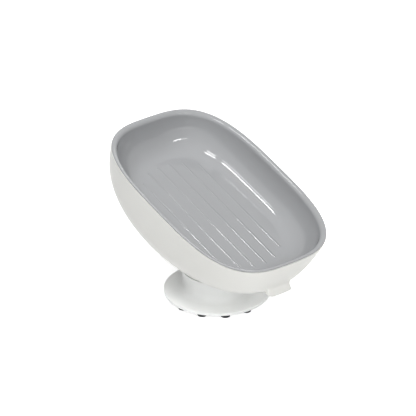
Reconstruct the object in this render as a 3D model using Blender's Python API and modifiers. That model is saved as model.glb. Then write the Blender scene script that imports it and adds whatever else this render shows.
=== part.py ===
"""Suction cup soap dish.

A white bowl leans down towards a pouring spout and swivels on a round pedestal.
A grey soap tray lies in the bowl and lifts out square to its rim. Twelve small
suction cups hold the pedestal's disc on the surface. Lengths are in metres, +Z is
up and +X points to the spout. The origin is on the surface, under the middle of
the whole dish.
"""

import math

import bmesh
import bpy
from mathutils import Vector

# Dish: the oval rim, its lean and the bowl below it
RIM_LENGTH = 0.140
RIM_WIDTH = 0.0908
RIM_POWER = 3.2
RIM_FORWARD = 0.0006
DISH_TILT = math.radians(17.0)
BOWL_DEPTH = 0.0418
BOWL_LEAN = 0.0078
BOWL_LEAN_POWER = 1.1
BOWL_DEPTH_POWER = 4.0
BOWL_SIDE_POWER = 3.1
BOWL_BASE_POWER = 1.75
SHELL_WALL = 0.0014
OVAL_POINTS = 60
BOWL_RINGS = 11
HOLLOW_RINGS = 8
BOWL_LAST_ANGLE = math.radians(86.0)
BOWL_RING_POWER = 1.5
OUTLINE_POINTS = 720

# Clearances
FIT_GAP = 0.0003
SEAM_GAP = 0.0004
EMBED = 0.0040
OVERRUN = 0.0020

# Soap tray
FLANGE_THICKNESS = 0.0007
FLANGE_INSET = 0.0004
FLANGE_ROUND = 0.0003
SMALL_ARC_COUNT = 2
TRAY_WALL = 0.0014
TRAY_SIDE_GAP = 0.0006
TRAY_EDGE_ROUND = 0.0012
TRAY_EDGE_COUNT = 3
TRAY_DEPTH = 0.0205
TRAY_FLOOR_LENGTH = 0.100
TRAY_FLOOR_WIDTH = 0.058
TRAY_FLOOR_POWER = 2.8
TRAY_WALL_RINGS = 8
TRAY_UNDERSIDE_RINGS = 5
RIB_COUNT = 6
RIB_PITCH = 0.0082
RIB_WIDTH = 0.0012
RIB_HEIGHT = 0.0006
RIB_ROOT = 0.0008
RIB_ROUND = 0.00035
RIB_ROUND_STEPS = 2
RIB_ROUND_SHARE = 0.5
RIB_END_MARGIN = 0.0018
DRAIN_SLOT_LENGTH = 0.012
DRAIN_SLOT_WIDTH = 0.004
DRIP_COLLAR_WALL = 0.0012
DRIP_COLLAR_DROP = 0.0036
DRIP_COLLAR_GAP = 0.0035

# Pedestal: disc, fillet, neck and the plate that carries the swivel
DISC_RADIUS = 0.0315
DISC_LIFT = 0.0030
DISC_EDGE = 0.0017
DISC_EDGE_ROUND = 0.0005
DISC_CONE_RISE = 0.0009
NECK_RADIUS = 0.0205
NECK_FILLET = 0.0038
NECK_ARC_COUNT = 6
NECK_TOP_ROUND = 0.0004
NECK_TOP = 0.0180
NECK_WALL = 0.0022
PLATE_THICKNESS = 0.0032
PEDESTAL_STEPS = 48
PEDESTAL_RIBS = 6
PEDESTAL_RIB_WIDTH = 0.0016
PEDESTAL_RIB_BOTTOM = 0.0065
BOWL_OVER_NECK = 0.0033

# Swivel: shouldered boss, rings, keyed retainer and screw
SHOULDER_RADIUS = 0.0100
SPIGOT_RADIUS = 0.0060
KEY_SIDE = 0.0080
KEY_LENGTH = 0.0020
BEARING_THICKNESS = 0.0010
BEARING_WALL = 0.0035
BEARING_POCKET_DEPTH = 0.0008
FRICTION_THICKNESS = 0.0012
FRICTION_WALL = 0.0035
RETAINER_RADIUS = 0.0110
RETAINER_FLOOR = 0.0012
SCREW_SHANK_RADIUS = 0.0019
SCREW_SHANK_LENGTH = 0.0120
SCREW_HEAD_RADIUS = 0.0038
SCREW_HEAD_HEIGHT = 0.0022
SCREW_HEAD_ROUND = 0.0008
SCREW_CROSS_WIDTH = 0.0010
SCREW_CROSS_LENGTH = 0.0042
SCREW_CROSS_DEPTH = 0.0012
PILOT_SPARE = 0.0006
TURRET_RIBS = 4
TURRET_RIB_WIDTH = 0.0016
TURRET_RIB_LIFT = 0.0012

# Spout: a hood that grows out of the bowl's low end and opens downwards
SPOUT_WIDTH = 0.0158
SPOUT_WALL = 0.0015
SPOUT_ROOT_DEPTH = 0.0170
SPOUT_DROP = 0.0067
SPOUT_REACH = 0.0053
SPOUT_REACH_POWER = 2.7
SPOUT_CORNER = 0.0019
SPOUT_FILLET = 0.0016
SPOUT_SINK = 0.0003
SPOUT_ROOT_SINK = 0.0012
SPOUT_SLICES = 9
SPOUT_CHANNEL_SHARE = 0.34
SPOUT_CHANNEL_SLICES = 4
ARC_COUNT = 4

# Suction cups
CUP_COUNT = 12
CUP_FIRST_ANGLE = math.radians(2.0)
CUP_RING_INSET = 0.0055
CUP_LIP_RADIUS = 0.0029
CUP_LIP_WIDTH = 0.0006
CUP_LIP_EDGE = 0.0005
CUP_WAIST_RADIUS = 0.0019
CUP_WAIST_HEIGHT = 0.0008
CUP_HOLLOW = 0.0011
CUP_HOLLOW_SHARE = 0.55
CUP_FLARE_SHARE = 0.6
CUP_PLUG_RADIUS = 0.0014
CUP_PLUG_LENGTH = 0.0015
CUP_STEPS = 16
ROUND_STEPS = 32
SHARP_ANGLE = math.radians(35.0)
MERGE_DISTANCE = 0.00001

WHITE = (0.83, 0.83, 0.80)
GREY = (0.40, 0.41, 0.42)
DARK_RUBBER = (0.035, 0.035, 0.038)
BLACK_RUBBER = (0.02, 0.02, 0.02)
ACETAL = (0.75, 0.75, 0.72)
STEEL = (0.56, 0.57, 0.58)


# Scene and materials

def clear_scene():
    for item in list(bpy.data.objects):
        bpy.data.objects.remove(item)


def new_collection(name):
    group = bpy.data.collections.new(name)
    bpy.context.scene.collection.children.link(group)
    return group


def material(name, colour, roughness, metallic=0.0):
    finish = bpy.data.materials.new(name)
    finish.use_nodes = True
    shader = finish.node_tree.nodes["Principled BSDF"]
    shader.inputs["Base Color"].default_value = (*colour, 1.0)
    shader.inputs["Roughness"].default_value = roughness
    shader.inputs["Metallic"].default_value = metallic
    return finish


def empty(name, parent=None, location=(0, 0, 0), tilt=0.0):
    frame = bpy.data.objects.new(name, None)
    frame.empty_display_size = NECK_RADIUS
    frame.location = location
    frame.rotation_euler = (0, tilt, 0)
    frame.parent = parent
    PARTS.objects.link(frame)
    return frame


def as_part(item, parent, finish, location=(0, 0, 0), turn=0.0):
    item.parent = parent
    item.location = location
    item.rotation_euler = (0, 0, turn)
    item.data.materials.clear()
    item.data.materials.append(finish)
    PARTS.objects.link(item)
    return item


def as_cutter(item, parent, location=(0, 0, 0), turn=0.0):
    item.parent = parent
    item.location = location
    item.rotation_euler = (0, 0, turn)
    item.hide_render = True
    item.display_type = "WIRE"
    CUTTERS.objects.link(item)
    return item


# Shapes

def object_from(name, shape):
    bmesh.ops.recalc_face_normals(shape, faces=shape.faces)
    mesh = bpy.data.meshes.new(name)
    shape.to_mesh(mesh)
    shape.free()
    mesh.shade_smooth()
    mesh.set_sharp_from_angle(angle=SHARP_ANGLE)
    return bpy.data.objects.new(name, mesh)


def loft(name, rings):
    """A closed solid through rings with the same number of points, flat at both ends."""
    shape = bmesh.new()
    rows = [[shape.verts.new(point) for point in ring] for ring in rings]
    for lower, upper in zip(rows, rows[1:]):
        for index in range(len(lower)):
            after = (index + 1) % len(lower)
            shape.faces.new((lower[index], lower[after], upper[after], upper[index]))
    shape.faces.new(rows[0])
    shape.faces.new(rows[-1])
    return object_from(name, shape)


def box(name, low, high, edge_round=0.0):
    """A box between two corners, with its edges rounded where a round is given."""
    shape = bmesh.new()
    bmesh.ops.create_cube(shape, size=1.0)
    middle = (Vector(low) + Vector(high)) / 2
    size = Vector(high) - Vector(low)
    for vert in shape.verts:
        vert.co = Vector((vert.co.x * size.x, vert.co.y * size.y, vert.co.z * size.z)) + middle
    if edge_round:
        bmesh.ops.bevel(shape, geom=list(shape.edges), offset=edge_round, segments=RIB_ROUND_STEPS,
                        profile=RIB_ROUND_SHARE, affect="EDGES")
    return object_from(name, shape)


def turned(name, profile, steps, closed=True):
    """A turned solid: the profile runs down its outer side and is screwed round Z.

    An open profile starts and ends on the axis.
    """
    mesh = bpy.data.meshes.new(name)
    count = len(profile)
    edges = [(index, index + 1) for index in range(count - 1)]
    if closed:
        edges.append((count - 1, 0))
    mesh.from_pydata([(radius, 0, height) for radius, height in profile], edges, [])
    item = bpy.data.objects.new(name, mesh)
    screw = item.modifiers.new("Turn", "SCREW")
    screw.steps = steps
    screw.render_steps = steps
    screw.use_merge_vertices = True
    screw.merge_threshold = MERGE_DISTANCE
    bpy.context.scene.collection.objects.link(item)
    graph = bpy.context.evaluated_depsgraph_get()
    solid = bpy.data.meshes.new_from_object(item.evaluated_get(graph))
    bpy.data.objects.remove(item)
    solid.name = name
    solid.shade_smooth()
    solid.set_sharp_from_angle(angle=SHARP_ANGLE)
    return bpy.data.objects.new(name, solid)


def join_shape(target, tool, name):
    step = target.modifiers.new(name, "BOOLEAN")
    step.operation = "UNION"
    step.object = tool


def cut_shape(target, tool, name):
    step = target.modifiers.new(name, "BOOLEAN")
    step.operation = "DIFFERENCE"
    step.object = tool


def arc(centre, radius, start, end, count=ARC_COUNT):
    """Points on an arc from one angle to another, both ends included."""
    points = []
    for index in range(count + 1):
        angle = start + (end - start) * index / count
        points.append((centre[0] + radius * math.cos(angle), centre[1] + radius * math.sin(angle)))
    return points


def oval(half_length, half_width, power, depth, lean):
    """A ring of the dish: a squared oval at a depth below the rim, moved to the high end."""
    ring = []
    for index in range(OVAL_POINTS):
        angle = 2 * math.pi * index / OVAL_POINTS
        along = math.copysign(abs(math.cos(angle)) ** (2 / power), math.cos(angle))
        across = math.copysign(abs(math.sin(angle)) ** (2 / power), math.sin(angle))
        ring.append((half_length * along - lean, half_width * across, -depth))
    return ring


def blend(start, end, share):
    return start + (end - start) * share


# The bowl's outer form, which the shell, the turret, the spout and the stance follow

def bowl_section(angle, inset=0.0):
    """Half-length, half-width, power, depth and lean of the bowl at a profile angle."""
    depth_share = math.sin(angle) ** (2 / BOWL_DEPTH_POWER)
    side_share = math.cos(angle) ** (2 / BOWL_SIDE_POWER)
    half_length = (RIM_LENGTH / 2 - inset) * side_share
    half_width = (RIM_WIDTH / 2 - inset) * side_share
    power = blend(RIM_POWER, BOWL_BASE_POWER, depth_share)
    depth = (BOWL_DEPTH - inset) * depth_share
    return half_length, half_width, power, depth, lean_at(depth)


def lean_at(depth):
    return BOWL_LEAN * (depth / BOWL_DEPTH) ** BOWL_LEAN_POWER - RIM_FORWARD


def angle_at_depth(depth, inset=0.0):
    return math.asin((depth / (BOWL_DEPTH - inset)) ** (BOWL_DEPTH_POWER / 2))


def end_point(angle, side):
    """A point of the bowl's outline in its middle plane, from the rim's centre.

    The side is +1 at the low end and -1 at the high end.
    """
    half_length, _, _, depth, lean = bowl_section(angle)
    along = side * half_length - lean
    return (along * math.cos(DISH_TILT) - depth * math.sin(DISH_TILT),
            -along * math.sin(DISH_TILT) - depth * math.cos(DISH_TILT))


def outline(side):
    turn = math.pi / 2 / OUTLINE_POINTS
    return [end_point(turn * index, side) for index in range(OUTLINE_POINTS + 1)]


LOW_OUTLINE = outline(1)
HIGH_OUTLINE = outline(-1)
RIM_DROP = -min(height for _, height in LOW_OUTLINE + HIGH_OUTLINE)
SEAM_TOP = NECK_TOP + SEAM_GAP
RIM_HEIGHT = NECK_TOP + BOWL_OVER_NECK + RIM_DROP
LOW_REACH = max(forward for forward, _ in LOW_OUTLINE)
HIGH_REACH = min(forward for forward, _ in HIGH_OUTLINE)
BASE_FORWARD = -(LOW_REACH + HIGH_REACH) / 2


def bowl_end(depth):
    """How far the bowl's low end is from the rim's middle, at a depth below the rim."""
    half_length, _, _, _, lean = bowl_section(angle_at_depth(depth))
    return half_length - lean


def bowl_underside(forward):
    """The height of the bowl's underside, at a distance forward of the swivel axis."""
    under = LOW_OUTLINE[::-1] + HIGH_OUTLINE
    heights = []
    for (x_one, z_one), (x_two, z_two) in zip(under, under[1:]):
        if min(x_one, x_two) <= forward <= max(x_one, x_two) and x_one != x_two:
            heights.append(blend(z_one, z_two, (forward - x_one) / (x_two - x_one)))
    return RIM_HEIGHT + min(heights)


# Outer shell

def rim_ring(inset, depth):
    return oval(RIM_LENGTH / 2 - inset, RIM_WIDTH / 2 - inset, RIM_POWER, depth, -RIM_FORWARD)


def bowl_solid(name, ring_count, inset=0.0):
    rings = []
    for index in range(ring_count + 1):
        share = (index / ring_count) ** BOWL_RING_POWER
        rings.append(oval(*bowl_section(BOWL_LAST_ANGLE * share, inset)))
    if inset:
        rings.insert(0, rim_ring(inset, -OVERRUN))
    return loft(name, rings)


def spout_slice(share, wall=0.0):
    """One slice of the spout square to the rim: straight lip, rounded corners, flared sides."""
    depth = SPOUT_ROOT_DEPTH + SPOUT_DROP * share
    front = bowl_end(depth)
    proud = (SPOUT_REACH + SPOUT_SINK) * share ** SPOUT_REACH_POWER - SPOUT_SINK
    lip = front + proud - wall
    half_width = SPOUT_WIDTH / 2 - wall
    room = max(proud, 0.0) / SPOUT_REACH
    corner = max((SPOUT_CORNER - wall / 2) * room, MERGE_DISTANCE)
    fillet = max(SPOUT_FILLET * room, MERGE_DISTANCE)
    if wall:
        side = [(SPOUT_CHANNEL_BACK, half_width)]
    else:
        side = [(front - SPOUT_ROOT_SINK, half_width + fillet)]
        side += arc((front + fillet, half_width + fillet), fillet, -math.pi, -math.pi / 2)
    rounding = arc((lip - corner, half_width - corner), corner, math.pi / 2, 0.0)
    half = side + rounding
    return [(x, y, -depth) for x, y in half] + [(x, -y, -depth) for x, y in reversed(half)]


SPOUT_CHANNEL_BACK = bowl_end(SPOUT_ROOT_DEPTH + SPOUT_DROP) - SHELL_WALL / 2


def spout_solid():
    shares = [index / SPOUT_SLICES for index in range(SPOUT_SLICES + 1)]
    return loft("spout_form", [spout_slice(share) for share in shares])


def spout_channel():
    count = SPOUT_CHANNEL_SLICES
    shares = [blend(SPOUT_CHANNEL_SHARE, 1.0, index / count) for index in range(count + 1)]
    rings = [spout_slice(share, SPOUT_WALL) for share in shares]
    rings.append([(x, y, z - OVERRUN) for x, y, z in rings[-1]])
    return loft("spout_channel", rings)


# The turret and its ribs go up through the bowl's wall, and the hollow trims them
TURRET_TOP = bowl_underside(-NECK_RADIUS) + EMBED


def turret_form():
    inner = NECK_RADIUS - NECK_WALL
    profile = [(NECK_RADIUS, TURRET_TOP), (NECK_RADIUS, SEAM_TOP + NECK_TOP_ROUND),
               (NECK_RADIUS - NECK_TOP_ROUND, SEAM_TOP), (inner, SEAM_TOP), (inner, TURRET_TOP)]
    return turned("turret_form", profile, PEDESTAL_STEPS)


def boss_form():
    """Boss, spigot and, by its pilot hole, the screw's seat."""
    top = bowl_underside(-SHOULDER_RADIUS) + EMBED
    profile = [(0, top), (SHOULDER_RADIUS, top), (SHOULDER_RADIUS, SHOULDER_HEIGHT),
               (SPIGOT_RADIUS, SHOULDER_HEIGHT), (SPIGOT_RADIUS, KEY_TOP), (0, KEY_TOP)]
    return turned("boss_form", profile, ROUND_STEPS, closed=False)


BEARING_FLOOR = NECK_TOP - BEARING_POCKET_DEPTH
BEARING_BOTTOM = BEARING_FLOOR + FIT_GAP
SHOULDER_HEIGHT = BEARING_BOTTOM + BEARING_THICKNESS + FIT_GAP
PLATE_BOTTOM = NECK_TOP - PLATE_THICKNESS
FRICTION_TOP = PLATE_BOTTOM - FIT_GAP
KEY_TOP = FRICTION_TOP - FRICTION_THICKNESS
RETAINER_TOP = KEY_TOP - FIT_GAP
KEY_BOTTOM = KEY_TOP - KEY_LENGTH
POCKET_FLOOR = KEY_BOTTOM - FIT_GAP
RETAINER_BOTTOM = POCKET_FLOOR - RETAINER_FLOOR
SCREW_HEAD_TOP = RETAINER_BOTTOM - FIT_GAP
SCREW_TIP = SCREW_HEAD_TOP + SCREW_SHANK_LENGTH
PILOT_RADIUS = SCREW_SHANK_RADIUS + FIT_GAP
PLATE_HOLE_RADIUS = SPIGOT_RADIUS + FIT_GAP


def make_outer_shell(swivel, dish):
    shell = bowl_solid("outer_shell", BOWL_RINGS)
    as_part(shell, dish, WHITE_PLASTIC)
    join_shape(shell, as_cutter(turret_form(), swivel), "Turret")
    join_shape(shell, as_cutter(boss_form(), swivel), "Boss")
    half = KEY_SIDE / 2
    key = box("key_form", (-half, -half, KEY_BOTTOM), (half, half, KEY_TOP + SHELL_WALL))
    join_shape(shell, as_cutter(key, swivel), "Key")
    reach = NECK_RADIUS - NECK_WALL / 2
    rib_low = SEAM_TOP + TURRET_RIB_LIFT
    for index in range(TURRET_RIBS):
        turn = 2 * math.pi * (index + 0.5) / TURRET_RIBS
        rib = box("turret_rib_form", (SHOULDER_RADIUS / 2, -TURRET_RIB_WIDTH / 2, rib_low),
                  (reach, TURRET_RIB_WIDTH / 2, TURRET_TOP))
        join_shape(shell, as_cutter(rib, swivel, turn=turn), "Rib")
    join_shape(shell, as_cutter(spout_solid(), dish), "Spout")
    cut_shape(shell, as_cutter(bowl_solid("bowl_hollow", HOLLOW_RINGS, SHELL_WALL), dish), "Hollow")
    cut_shape(shell, as_cutter(spout_channel(), dish), "Spout channel")
    pilot = [(0, SCREW_TIP + PILOT_SPARE), (PILOT_RADIUS, SCREW_TIP + PILOT_SPARE),
             (PILOT_RADIUS, KEY_BOTTOM - OVERRUN), (0, KEY_BOTTOM - OVERRUN)]
    cut_shape(shell, as_cutter(turned("pilot_hole", pilot, CUP_STEPS, closed=False), swivel), "Pilot")
    return shell


# Soap tray

# Depths here are below the shell's top edge, and the flange lies above it
TRAY_TOP_LENGTH = RIM_LENGTH / 2 - SHELL_WALL - TRAY_SIDE_GAP - TRAY_WALL
TRAY_TOP_WIDTH = RIM_WIDTH / 2 - SHELL_WALL - TRAY_SIDE_GAP - TRAY_WALL
FLANGE_TOP_DEPTH = -FIT_GAP - FLANGE_THICKNESS
TRAY_EDGE_DEPTH = FLANGE_TOP_DEPTH + TRAY_EDGE_ROUND


def tray_section(angle, wall=0.0):
    """A ring of the tray's wall: a quarter ellipse from the rim round to the floor."""
    side = math.cos(angle)
    half_length = TRAY_FLOOR_LENGTH / 2 + (TRAY_TOP_LENGTH - TRAY_FLOOR_LENGTH / 2 + wall) * side
    half_width = TRAY_FLOOR_WIDTH / 2 + (TRAY_TOP_WIDTH - TRAY_FLOOR_WIDTH / 2 + wall) * side
    down_share = math.sin(angle)
    power = blend(RIM_POWER, TRAY_FLOOR_POWER, down_share)
    depth = TRAY_EDGE_DEPTH + (TRAY_DEPTH - TRAY_EDGE_DEPTH + wall) * down_share
    return half_length, half_width, power, depth, blend(-RIM_FORWARD, 0.0, down_share)


def tray_wall_depth(along, wall=0.0):
    """The depth of the tray's wall in its middle plane, at a distance from the middle."""
    turn = math.pi / 2 / OUTLINE_POINTS
    for index in range(OUTLINE_POINTS, 0, -1):
        half_length, _, _, depth, lean = tray_section(turn * index, wall)
        if half_length - lean >= along:
            return depth
    return TRAY_EDGE_DEPTH


def tray_solid():
    rings = []
    for index in range(TRAY_UNDERSIDE_RINGS + 1):
        angle = blend(math.pi / 2, 0.0, index / TRAY_UNDERSIDE_RINGS)
        rings.append(oval(*tray_section(angle, TRAY_WALL)))
    rings.append(rim_ring(SHELL_WALL + TRAY_SIDE_GAP, -FIT_GAP))
    rings.append(rim_ring(FLANGE_INSET, -FIT_GAP))
    for inset, depth in arc((FLANGE_INSET + FLANGE_ROUND, FLANGE_TOP_DEPTH + FLANGE_ROUND), FLANGE_ROUND,
                            math.pi, 1.5 * math.pi, SMALL_ARC_COUNT):
        rings.append(rim_ring(inset, depth))
    edge_inset = RIM_LENGTH / 2 - TRAY_TOP_LENGTH - TRAY_EDGE_ROUND
    for inset, depth in arc((edge_inset, TRAY_EDGE_DEPTH), TRAY_EDGE_ROUND, 1.5 * math.pi, 2 * math.pi,
                            TRAY_EDGE_COUNT):
        rings.append(rim_ring(inset, depth))
    for index in range(1, TRAY_WALL_RINGS + 1):
        rings.append(oval(*tray_section(math.pi / 2 * index / TRAY_WALL_RINGS)))
    return loft("inner_tray", rings)


def floor_half_length(across):
    """Half the length of the tray's flat floor, at a distance from its middle line."""
    share = abs(across) / (TRAY_FLOOR_WIDTH / 2)
    return TRAY_FLOOR_LENGTH / 2 * (1 - share ** TRAY_FLOOR_POWER) ** (1 / TRAY_FLOOR_POWER)


def make_inner_tray(dish, lift):
    tray = tray_solid()
    as_part(tray, lift, GREY_PLASTIC)
    for index in range(RIB_COUNT):
        across = (index - (RIB_COUNT - 1) / 2) * RIB_PITCH
        half = floor_half_length(across) - RIB_END_MARGIN
        low = (-half, across - RIB_WIDTH / 2, -TRAY_DEPTH - RIB_ROOT)
        high = (half, across + RIB_WIDTH / 2, -TRAY_DEPTH + RIB_HEIGHT)
        rib = box("floor_rib_form", low, high, RIB_ROUND)
        join_shape(tray, as_cutter(rib, lift), "Rib")
    collar_bottom = TRAY_DEPTH + DRIP_COLLAR_DROP
    inner_front, _, _, _, lean = bowl_section(angle_at_depth(collar_bottom, SHELL_WALL), SHELL_WALL)
    front = inner_front - lean - DRIP_COLLAR_GAP
    back = front - DRAIN_SLOT_WIDTH - 2 * DRIP_COLLAR_WALL
    reach = DRAIN_SLOT_LENGTH / 2
    side = reach + DRIP_COLLAR_WALL
    seats = [(x, blend(tray_wall_depth(x), tray_wall_depth(x, TRAY_WALL), 0.5)) for x in (back, front)]
    top = [(x, y, -depth) for (x, depth), y in zip(seats + seats[::-1], (-side, -side, side, side))]
    collar = loft("drip_collar_form", [[(x, y, -collar_bottom) for x, y, _ in top], top])
    join_shape(tray, as_cutter(collar, lift), "Drip collar")
    slot = box("drain_slot", (back + DRIP_COLLAR_WALL, -reach, -collar_bottom - OVERRUN),
               (front - DRIP_COLLAR_WALL, reach, OVERRUN), RIB_ROUND)
    cut_shape(tray, as_cutter(slot, lift), "Drain slot")
    return tray


# Pedestal

def pedestal_profile():
    """Down the outside from the neck's top to the disc's edge, then back up the inside."""
    disc_top = DISC_LIFT + DISC_EDGE
    fillet_foot = disc_top + DISC_CONE_RISE
    inner = NECK_RADIUS - NECK_WALL
    pocket = SPIGOT_RADIUS + BEARING_WALL + 2 * FIT_GAP
    profile = arc((NECK_RADIUS - NECK_TOP_ROUND, NECK_TOP - NECK_TOP_ROUND), NECK_TOP_ROUND,
                  math.pi / 2, 0.0, SMALL_ARC_COUNT)
    profile += arc((NECK_RADIUS + NECK_FILLET, fillet_foot + NECK_FILLET), NECK_FILLET,
                   math.pi, 1.5 * math.pi, NECK_ARC_COUNT)
    profile += arc((DISC_RADIUS - DISC_EDGE_ROUND, disc_top - DISC_EDGE_ROUND), DISC_EDGE_ROUND,
                   math.pi / 2, 0.0, SMALL_ARC_COUNT)
    profile += [(DISC_RADIUS, DISC_LIFT), (inner, DISC_LIFT), (inner, PLATE_BOTTOM),
                (PLATE_HOLE_RADIUS, PLATE_BOTTOM), (PLATE_HOLE_RADIUS, BEARING_FLOOR),
                (pocket, BEARING_FLOOR), (pocket, NECK_TOP)]
    return profile


def cup_place(index):
    turn = CUP_FIRST_ANGLE + 2 * math.pi * index / CUP_COUNT
    ring = DISC_RADIUS - CUP_RING_INSET
    return ring * math.cos(turn), ring * math.sin(turn), 0


def make_pedestal(base):
    pedestal = turned("pedestal", pedestal_profile(), PEDESTAL_STEPS)
    as_part(pedestal, base, WHITE_PLASTIC)
    near = RETAINER_RADIUS + PEDESTAL_RIB_WIDTH
    far = NECK_RADIUS - NECK_WALL / 2
    for index in range(PEDESTAL_RIBS):
        rib = box("pedestal_rib_form", (near, -PEDESTAL_RIB_WIDTH / 2, PEDESTAL_RIB_BOTTOM),
                  (far, PEDESTAL_RIB_WIDTH / 2, PLATE_BOTTOM + PLATE_THICKNESS / 2))
        turn = 2 * math.pi * index / PEDESTAL_RIBS
        join_shape(pedestal, as_cutter(rib, base, turn=turn), "Rib")
    radius = CUP_PLUG_RADIUS + FIT_GAP
    top = DISC_LIFT + CUP_PLUG_LENGTH
    profile = [(0, top), (radius, top), (radius, DISC_LIFT - OVERRUN), (0, DISC_LIFT - OVERRUN)]
    socket = turned("cup_socket", profile, CUP_STEPS, closed=False)
    for index in range(CUP_COUNT):
        cutter = bpy.data.objects.new("cup_socket", socket.data)
        cut_shape(pedestal, as_cutter(cutter, base, cup_place(index)), "Cup socket")
    bpy.data.objects.remove(socket)
    return pedestal


# Swivel pieces

def washer_profile(inner, wall, bottom, thickness):
    return [(inner + wall, bottom + thickness), (inner + wall, bottom),
            (inner, bottom), (inner, bottom + thickness)]


def make_swivel_pieces(base, swivel):
    inner = SPIGOT_RADIUS + FIT_GAP
    bearing = washer_profile(inner, BEARING_WALL, BEARING_BOTTOM, BEARING_THICKNESS)
    as_part(turned("bearing_ring", bearing, ROUND_STEPS), base, ACETAL_PLASTIC)
    friction = washer_profile(inner, FRICTION_WALL, KEY_TOP, FRICTION_THICKNESS)
    as_part(turned("friction_ring", friction, ROUND_STEPS), swivel, FRICTION_RUBBER)
    retainer = washer_profile(PILOT_RADIUS, RETAINER_RADIUS - PILOT_RADIUS, RETAINER_BOTTOM,
                              RETAINER_TOP - RETAINER_BOTTOM)
    retainer = as_part(turned("pivot_retainer", retainer, ROUND_STEPS), swivel, ACETAL_PLASTIC)
    half = KEY_SIDE / 2 + FIT_GAP
    pocket = box("key_pocket", (-half, -half, POCKET_FLOOR), (half, half, RETAINER_TOP + OVERRUN))
    cut_shape(retainer, as_cutter(pocket, swivel), "Key pocket")
    make_screw(swivel)


def make_screw(swivel):
    head_bottom = SCREW_HEAD_TOP - SCREW_HEAD_HEIGHT
    head_side = SCREW_HEAD_RADIUS - SCREW_HEAD_ROUND
    profile = [(0, SCREW_TIP), (SCREW_SHANK_RADIUS / 2, SCREW_TIP),
               (SCREW_SHANK_RADIUS, SCREW_TIP - SCREW_SHANK_RADIUS / 2),
               (SCREW_SHANK_RADIUS, SCREW_HEAD_TOP), (SCREW_HEAD_RADIUS, SCREW_HEAD_TOP)]
    profile += arc((head_side, head_bottom + SCREW_HEAD_ROUND), SCREW_HEAD_ROUND, 0.0, -math.pi / 2,
                   SMALL_ARC_COUNT)
    profile += [(0, head_bottom)]
    screw = as_part(turned("pivot_screw", profile, CUP_STEPS, closed=False), swivel, SCREW_STEEL)
    long_half = SCREW_CROSS_LENGTH / 2
    short_half = SCREW_CROSS_WIDTH / 2
    low = head_bottom - OVERRUN
    high = head_bottom + SCREW_CROSS_DEPTH
    for name, reach, side in (("cross_one", long_half, short_half), ("cross_two", short_half, long_half)):
        slot = box(name, (-reach, -side, low), (reach, side, high))
        cut_shape(screw, as_cutter(slot, swivel), "Cross recess")


# Suction cups

def cup_profile():
    shoulder = DISC_LIFT - FIT_GAP
    plug_top = DISC_LIFT + CUP_PLUG_LENGTH - FIT_GAP
    waist = shoulder - CUP_WAIST_HEIGHT
    inner_lip = CUP_LIP_RADIUS - CUP_LIP_WIDTH
    profile = [(0, plug_top), (CUP_PLUG_RADIUS, plug_top), (CUP_PLUG_RADIUS, shoulder),
               (CUP_WAIST_RADIUS, shoulder), (CUP_WAIST_RADIUS, waist),
               (blend(CUP_WAIST_RADIUS, CUP_LIP_RADIUS, 1 - CUP_FLARE_SHARE),
                blend(waist, CUP_LIP_EDGE, CUP_FLARE_SHARE)),
               (CUP_LIP_RADIUS, CUP_LIP_EDGE), (CUP_LIP_RADIUS, 0), (inner_lip, 0),
               (inner_lip * CUP_HOLLOW_SHARE, CUP_HOLLOW * (1 - CUP_HOLLOW_SHARE ** 2)), (0, CUP_HOLLOW)]
    return profile


def make_suction_cups(base):
    first = turned("suction_cup", cup_profile(), CUP_STEPS, closed=False)
    for index in range(CUP_COUNT):
        cup = bpy.data.objects.new(f"suction_cup_{index + 1:02d}", first.data)
        as_part(cup, base, CUP_RUBBER, cup_place(index))
    bpy.data.objects.remove(first)


clear_scene()
PARTS = new_collection("suction_cup_soap_dish")
CUTTERS = new_collection("cutters")
WHITE_PLASTIC = material("white_plastic", WHITE, 0.32)
GREY_PLASTIC = material("grey_plastic", GREY, 0.16)
CUP_RUBBER = material("cup_rubber", DARK_RUBBER, 0.45)
FRICTION_RUBBER = material("friction_rubber", BLACK_RUBBER, 0.7)
ACETAL_PLASTIC = material("acetal_plastic", ACETAL, 0.4)
SCREW_STEEL = material("screw_steel", STEEL, 0.3, 1.0)

base_frame = empty("base_frame", location=(BASE_FORWARD, 0, 0))
swivel_axis = empty("swivel_axis", base_frame)
dish_frame = empty("dish_frame", swivel_axis, (0, 0, RIM_HEIGHT), DISH_TILT)
tray_lift = empty("tray_lift", dish_frame)

make_pedestal(base_frame)
make_suction_cups(base_frame)
make_swivel_pieces(base_frame, swivel_axis)
make_outer_shell(swivel_axis, dish_frame)
make_inner_tray(dish_frame, tray_lift)
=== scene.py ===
"""The looks of the suction cup soap dish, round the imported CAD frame.

The bowl, its spout, the tray, the pedestal and the cups are rebuilt here as smooth
meshes from the dimensions of the solids. The bowl's top edge, the spout, the tray's
flange and its ribs differ from the solids by under 2 mm, to follow the photograph
more closely. Lengths are in metres in the row's frame: +Z is up, +X points to the
spout, and the origin is on the surface. The dish's own rings lie level below its
rim, and DISH tilts and lifts them into place.
"""

import math

import bmesh
import bpy
import numpy as np
from mathutils import Matrix, Vector
from mathutils.bvhtree import BVHTree


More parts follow.
